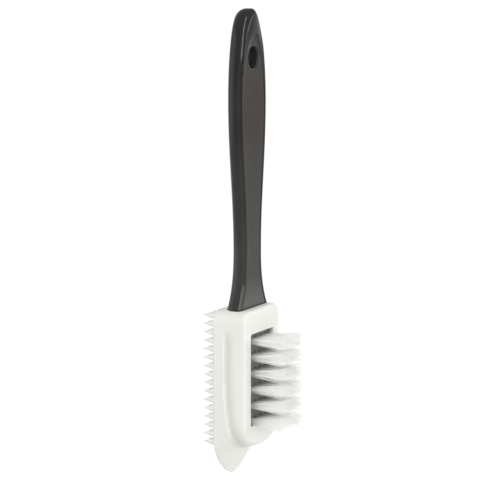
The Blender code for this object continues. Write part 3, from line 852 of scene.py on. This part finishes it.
def flank_fade(height):
    """Share of the ridge and its valley at a height: none at the shoulders and all of it lower down."""
    s = sizes("brush_head")
    return smoothstep((HEAD_LENGTH - s.ridge_margin - height) / s.ridge_fade)


def painted_hollow_shade_at(vert):
    """How deep a point of the head lies in the valley beside the ridge, from 1 to 0, which sets the shade
    painted there.
    """
    s = sizes("brush_head")
    height = vert.co.z - NOSE_TIP
    ahead = (crease_place(height) - vert.co.y) / s.valley_end
    if vert.co.y <= s.front_edge - s.front or not 0 < ahead < 1:
        return 0.0
    return (1 - smoothstep(ahead)) * flank_fade(height)


def flank_out(y, height):
    """How far the flank stands out: back face, ridge, valley and block."""
    s = sizes("brush_head")
    crease = crease_place(height)
    ahead = crease - y
    if ahead < -s.ridge_at:
        share = (y - crease - s.ridge_at) / (s.back - crease - s.ridge_at)
        out = s.ridge_rise - (s.ridge_rise + s.back_draw) * share
    elif ahead < s.ridge_at:
        share = (ahead + s.ridge_at) / (2 * s.ridge_at)
        out = s.ridge_rise - (s.ridge_rise + s.valley_depth) * (1 - math.cos(math.pi * share)) / 2
    elif ahead < s.valley_end:
        share = (ahead - s.ridge_at) / (s.valley_end - s.ridge_at)
        out = -s.valley_depth * (1 - share)
    else:
        out = 0.0
    return out * flank_fade(height)


def prow_height(y):
    """Height of the prow's edge: the tip, a steep rake, then a flatter one up to the window face."""
    s = sizes("brush_head")
    if y > s.prow_at:
        return 0.0
    if y > -s.prow_bend:
        return s.prow_bend_rise * (s.prow_at - y) / (s.prow_at + s.prow_bend)
    return s.prow_bend_rise + (s.prow_rise - s.prow_bend_rise) * (-s.prow_bend - y) / (s.front - s.prow_bend)


def head_outline(y, inset):
    """Outline of the head at one level: shoulders, sides and the pointed nose."""
    s = sizes("brush_head")
    share = (s.back - y) / (s.back + s.front)
    nose = s.nose_back + (s.nose_front - s.nose_back) * share
    power = s.nose_back_power + (s.nose_front_power - s.nose_back_power) * share
    half_width = s.width / 2 - inset
    top = HEAD_LENGTH - inset
    foot = prow_height(y) + inset
    side_foot = foot + nose
    side = corner(half_width, top, s.shoulder, 1, SHOULDER_STEPS)
    for height in spread(top - s.shoulder, side_foot, FLANK_STEPS + 1)[1:]:
        side.append((half_width + flank_out(y, height), height))
    for angle in quarter(NOSE_STEPS)[1:-1]:
        height = side_foot - nose * math.sin(angle) ** (2 / power)
        side.append(((half_width + flank_out(y, height)) * math.cos(angle) ** (2 / power), height))
    return whole_outline(top, side, foot)


def head_levels():
    """Levels of the head from the pin face to the window face, with their rounded edges."""
    s = sizes("brush_head")
    places = round_edge(s.back, -s.back_edge, BACK_EDGE_STEPS)[::-1]
    places += [(y, 0.0) for y in spread(s.back - s.back_edge, -s.front + s.front_edge, SIDE_LEVELS)]
    places += round_edge(-s.front, s.front_edge, FRONT_EDGE_STEPS)
    return [(y, head_outline(y, inset)) for y, inset in places]


def window_cutter():
    """Window in the front of the head, with a rounded lip."""
    s = sizes("brush_head")
    levels = [(-s.plate + s.fit, 0.0), (-s.front + s.window_lip, 0.0)]
    levels += round_edge(-s.front, s.window_lip, LIP_STEPS)
    levels.append((-s.front - OVERRUN, s.window_lip))
    top = s.window_foot + s.window_length
    outlines = [(y, rounded_panel(s.window_width / 2 + out, s.window_foot - out, top + out,
                                  s.window_corner + out, WINDOW_CORNER_STEPS)) for y, out in levels]
    return as_object("window_cutter", lofted(outlines))


class BRUSH_OT_core(Operator):
    """Build the dark core behind the window, with a hole for every tuft"""
    bl_idname = "brush.core"
    bl_label = "Core"

    def execute(self, context):
        core = as_object("core_block", lofted(core_levels(0.0)))
        carve(core, tuft_hole_cutter())
        smooth(core)
        mark(core, "edge_wear", wear_at)
        # painted light: the core takes the handle's plastic in a lighter colour
        tint = sizes("brush_finish").core
        plastic = satin_plastic("core_plastic_painted_lighter", tint, [value * CORE_WORN for value in tint], tint, tint)
        finish_piece(core, plastic, "handle_plastic", "handle")
        return {"FINISHED"}


class BRUSH_OT_rubber_head(Operator):
    """Build the rubber head with its ridge, raked prow and window"""
    bl_idname = "brush.rubber_head"
    bl_label = "Rubber head"

    def execute(self, context):
        s = sizes("brush_head")
        foot = s.window_foot + s.window_length / 2
        head = as_object("rubber_head", lofted(head_levels()))
        neck = as_object("neck_cutter", handle_skin(s.fit, foot))
        cavity = as_object("core_cutter", lofted(core_levels(s.fit)))
        carve(head, neck, cavity, window_cutter())
        smooth(head)
        # depth in the flank's valley, which sets the shade painted there
        mark(head, "hollow", painted_hollow_shade_at)
        finish_piece(head, pale_rubber(), "sleeve_rubber", "head_sleeve")
        return {"FINISHED"}


# Rubber pins

PIN_SIDES = 10
PIN_SUNK = 0.25 * MM  # how far a pin's foot is sunk in the head
PIN_LEAN = 0.08 * MM  # most that a pin's tip leans to a side
# Rings of a pin's fillet: shares of its root and of its flare in the radius, and the height
PIN_FILLET = ((1.0, 1.0, 0.02 * MM), (1.0, 0.2, 0.2 * MM), (0.92, 0.0, 0.65 * MM))
# Rings of a pin's blunt tip: shares of the tip's radius across and below its end
PIN_TIP = ((1.0, 1.0), (0.7, 0.3), (0.0, 0.0))


def pin_shape():
    """One pin with a softly flared root and a blunt tip, standing out along Y."""
    p = sizes("brush_pins")
    profile = [(0.0, -PIN_SUNK), (p.root + p.flare, -PIN_SUNK)]
    profile += [(p.root * root + p.flare * flare, height) for root, flare, height in PIN_FILLET]
    profile += [(p.tip * across, p.length - p.tip * below) for across, below in PIN_TIP]
    return spun(profile, PIN_SIDES)


def pin_places():
    """Places of the pins in straight rows and columns over the pin face."""
    p = sizes("brush_pins")
    s = sizes("brush_head")
    across = s.width / 2 - p.side_margin
    for height in spread(HEAD_LENGTH - p.top_margin, p.nose_margin, p.rows):
        for x in spread(-across, across, p.columns):
            yield Vector((x, s.back, at_height(height)))


class BRUSH_OT_pins(Operator):
    """Stand the rubber pins on the back of the head"""
    bl_idname = "brush.pins"
    bl_label = "Rubber pins"

    def execute(self, context):
        pins = as_object("rubber_pins", repeated(pin_shape(), pin_places(), PIN_LEAN))
        shade_round(pins, FINE_ANGLE)
        finish_piece(pins, bpy.data.materials["pale_moulded_rubber"], "sleeve_rubber", "head_sleeve")
        return {"FINISHED"}


# Nylon bristles

STRAND_SIDES = 4
STRAND_CUTS = 4
STRAND_TAPER = 0.5  # share of its thickness that a strand loses towards its tip
STRAND_BOW = 0.85  # share of a half wave that a strand bows along
STRAND_SUNK = 0.12  # how far a strand runs on into the core, as a share of what stands out
ROOT_SHAKE = 0.05  # how far a strand's place is shaken, in radii of its tuft
# painted shade at a strand's root fades out over this share
ROOT_SHADE_FADE = 0.5  # share of a strand over which its root's tone fades
TIP_START = 0.9  # share of a strand at which its tip's tone starts
FAN_START = 0.4  # share of the fan that opens evenly, while the rest opens towards the tips
FAN_RANGE = (0.8, 1.08)  # least and most of the fan that a strand takes
TUFT_LEAN = 0.45 * MM  # most that a tuft leans to a side
TONE_POWER = 1.6  # keeps most strands near the brighter tone
TUFT_SEEDS = (101, 13)  # for a row and for a column


def strand_roots(strands, rng):
    """Places on the unit disc, laid on a sunflower spiral and shaken a little."""
    for i in range(strands):
        radius = math.sqrt((i + 0.5) / strands)
        angle = i * math.pi * (3 - math.sqrt(5))
        shake = Vector((rng.uniform(-1, 1), rng.uniform(-1, 1))) * ROOT_SHAKE
        yield Vector((radius * math.cos(angle), radius * math.sin(angle))) + shake


def strand_shape():
    """Mesh of one straight strand along Z from 0 to 1, cut into a few lengths so that it can bow."""
    bm = bmesh.new()
    bmesh.ops.create_cone(bm, cap_ends=True, segments=STRAND_SIDES, radius1=0.5, radius2=0.5, depth=1.0,
                          matrix=Matrix.Translation((0, 0, 0.5)))
    sides = [edge for edge in bm.edges if abs(edge.verts[0].co.z - edge.verts[1].co.z) > 0.5]
    bmesh.ops.subdivide_edges(bm, edges=sides, cuts=STRAND_CUTS)
    return as_mesh("strand_shape", bm)


def add_strand(bm, layers, shape, root, tip, bow, thickness, tone):
    """Lay one strand from root to tip, bowed to one side, and write its tone, its tip share and its root's
    painted shade.
    """
    first = len(bm.verts)
    bm.from_mesh(shape)
    bm.verts.ensure_lookup_table()
    way = tip - root
    turn = way.to_track_quat("Z", "X").to_matrix()
    for vert in bm.verts[first:]:
        share = vert.co.z
        across = turn @ Vector((vert.co.x, vert.co.y, 0.0)) * thickness * (1 - STRAND_TAPER * share ** 2)
        opened = share * (FAN_START + (1 - FAN_START) * share)
        along = Vector((way.x * opened, way.y * share, way.z * opened))
        vert.co = root + along + across + bow * math.sin(math.pi * share * STRAND_BOW)
        vert[layers[0]] = tone
        vert[layers[1]] = smoothstep((share - TIP_START) / (1 - TIP_START))
        # painted shade at the root
        vert[layers[2]] = 1 - smoothstep(share / ROOT_SHADE_FADE)


def tuft_mesh(row, column, place, shape):
    """Bundle of separate strands that fan out from one hole."""
    t = sizes("brush_bristles")
    s = sizes("brush_head")
    rng = random.Random(row * TUFT_SEEDS[0] + column * TUFT_SEEDS[1])
    bm = bmesh.new()
    for name in ("strand_tone", "strand_tip", "strand_root_shade"):
        bm.verts.layers.float.new(name)
    layers = bm.verts.layers.float.values()
    lean = Vector((rng.uniform(-1, 1), rng.uniform(-1, 1))) * TUFT_LEAN
    for spot in strand_roots(t.strands, rng):
        reach = s.front - s.plate + t.reach - rng.uniform(0, t.scatter)
        fan_x = spot.x * t.root * t.fan_across * rng.uniform(*FAN_RANGE) + lean.x
        fan_z = spot.y * t.root * t.fan_along * rng.uniform(*FAN_RANGE) + lean.y
        mouth = place + Vector((spot.x * t.root, 0.0, spot.y * t.root))
        tip = place + Vector((fan_x, -reach, fan_z))
        root = mouth + (mouth - tip) * STRAND_SUNK
        bow = Vector((rng.uniform(-1, 1), 0.0, rng.uniform(-1, 1))) * t.bend
        tone = rng.random() ** TONE_POWER
        add_strand(bm, layers, shape, root, tip, bow, t.thickness, tone)
    return bm


class BRUSH_OT_bristles(Operator):
    """Fill every hole of the core with a fanned tuft of nylon strands"""
    bl_idname = "brush.bristles"
    bl_label = "Bristles"

    def execute(self, context):
        nylon = clear_nylon()
        shape = strand_shape()
        for row, column, place in tuft_places():
            tuft = as_object(f"bristles_{row}_{column}", tuft_mesh(row, column, place, shape))
            shade_round(tuft, FINE_ANGLE)
            finish_piece(tuft, nylon, "nylon", f"tuft_{row}_{column}")
        return {"FINISHED"}


class BRUSH_OT_anchors(Operator):
    """Give the anchors that hold the tufts their drawn steel"""
    bl_idname = "brush.anchors"
    bl_label = "Anchors"

    def execute(self, context):
        steel = wire_steel()
        for name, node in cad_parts.items():
            if name.startswith("anchor_"):
                for slot in node.material_slots:
                    slot.material = steel
        return {"FINISHED"}


# Stage

WORLD_LIGHT = 0.56  # strength at which the surroundings light the brush
FLOOR_REACH = 30.0  # from the middle of the floor to its sides
SENSOR_WIDTH = 36.0  # in millimetres
MAX_BOUNCES = 24
DIFFUSE_BOUNCES = 12
# Each soft lamp: azimuth and elevation in degrees, distance, width and height, and power in watts
LAMPS = {
    "side_lamp": (-152, 6, 1.3, (0.9, 0.9), 3.6),
    "key_lamp": (-61.5, 38, 1.4, (0.13, 1.2), 8.6),
    "front_lamp": (31, 8, 1.4, (0.42, 0.5), 4.1),
    "low_lamp": (-12, -6, 1.4, (0.5, 0.3), 3.3),
}


def aim(thing, target):
    """Turn a lamp or camera towards a point."""
    way = Vector(target) - thing.location
    thing.rotation_euler = way.to_track_quat("-Z", "Y").to_euler()


def softbox(name, place, size, power, target):
    """Soft lamp aimed at a point."""
    lamp = bpy.data.lights.new(name, "AREA")
    lamp.shape = "RECTANGLE"
    lamp.size, lamp.size_y = size
    lamp.energy = power
    thing = linked(name, lamp)
    thing.location = place
    aim(thing, target)


def around_target(azimuth, elevation, distance):
    """Place seen from the target at an azimuth, an elevation and a distance."""
    way = Vector((math.sin(azimuth) * math.cos(elevation), -math.cos(azimuth) * math.cos(elevation),
                  math.sin(elevation)))
    return Vector(sizes("brush_stage").target) + way * distance


def pale_world():
    """Surroundings that the camera sees as white and that light the brush at a lower level."""
    world = bpy.data.worlds.new("pale_studio")
    world.use_nodes = True
    calls = NodeCalls(world.node_tree)
    level = calls.between(seen_rays(calls), low=0.0, high=1.0, first=WORLD_LIGHT)
    calls.feed(world.node_tree.nodes["Background"], Color=(1, 1, 1, 1), Strength=level)
    return world


def photo_camera():
    """Camera at the photograph's viewing angle."""
    s = sizes("brush_stage")
    lens = bpy.data.cameras.new("photo_camera")
    lens.sensor_width = SENSOR_WIDTH
    lens.lens = SENSOR_WIDTH * s.distance / s.view_width
    camera = linked("photo_camera", lens)
    camera.location = around_target(s.azimuth, s.elevation, s.distance)
    aim(camera, s.target)
    return camera


class BRUSH_OT_stage(Operator):
    """Set the floor, the soft lamps, the pale surroundings and the camera"""
    bl_idname = "brush.stage"
    bl_label = "Stage"

    def execute(self, context):
        s = sizes("brush_stage")
        scene = context.scene
        bm = bmesh.new()
        bmesh.ops.create_grid(bm, x_segments=2, y_segments=2, size=FLOOR_REACH)
        bmesh.ops.translate(bm, verts=bm.verts[:], vec=(0, 0, NOSE_TIP - s.drop))
        floor = as_object("studio_floor", bm)
        floor.data.materials.append(studio_floor())
        scene.world = pale_world()
        for name, (azimuth, elevation, distance, size, power) in LAMPS.items():
            place = around_target(math.radians(azimuth), math.radians(elevation), distance)
            softbox(name, place, size, power, s.target)
        scene.camera = photo_camera()
        scene.view_settings.view_transform = "Standard"
        scene.cycles.max_bounces = MAX_BOUNCES
        scene.cycles.diffuse_bounces = DIFFUSE_BOUNCES
        return {"FINISHED"}


# Add-on

OPERATORS = (
    BRUSH_OT_handle,
    BRUSH_OT_core,
    BRUSH_OT_rubber_head,
    BRUSH_OT_pins,
    BRUSH_OT_bristles,
    BRUSH_OT_anchors,
    BRUSH_OT_stage,
)

GROUPS = {
    "brush_handle": HandleSizes,
    "brush_head": HeadSizes,
    "brush_pins": PinSizes,
    "brush_bristles": BristleSizes,
    "brush_finish": FinishColours,
    "brush_stage": StageSizes,
}


class BRUSH_PT_panel(Panel):
    """Sizes, colours and build steps of the suede brush"""
    bl_idname = "BRUSH_PT_panel"
    bl_label = "Suede Brush"
    bl_space_type = "VIEW_3D"
    bl_region_type = "UI"
    bl_category = "Suede Brush"

    def draw(self, context):
        layout = self.layout
        for operator in OPERATORS:
            layout.operator(operator.bl_idname)
        for name in GROUPS:
            group = getattr(context.scene, name)
            box = layout.box()
            for key in group.bl_rna.properties.keys():
                if key not in ("rna_type", "name"):
                    box.prop(group, key)


def register():
    """Register the classes and hang the size groups on the scene."""
    for group in GROUPS.values():
        bpy.utils.register_class(group)
    for name, group in GROUPS.items():
        setattr(bpy.types.Scene, name, PointerProperty(type=group))
    for item in (*OPERATORS, BRUSH_PT_panel):
        bpy.utils.register_class(item)


def unregister():
    """Take the classes and the size groups away again."""
    for item in reversed((*OPERATORS, BRUSH_PT_panel)):
        bpy.utils.unregister_class(item)
    for name, group in GROUPS.items():
        delattr(bpy.types.Scene, name)
        bpy.utils.unregister_class(group)


def main():
    """Build every piece and the stage."""
    register()
    bpy.ops.brush.handle()
    bpy.ops.brush.core()
    bpy.ops.brush.rubber_head()
    bpy.ops.brush.pins()
    bpy.ops.brush.bristles()
    bpy.ops.brush.anchors()
    bpy.ops.brush.stage()


if __name__ == "__main__":
    main()
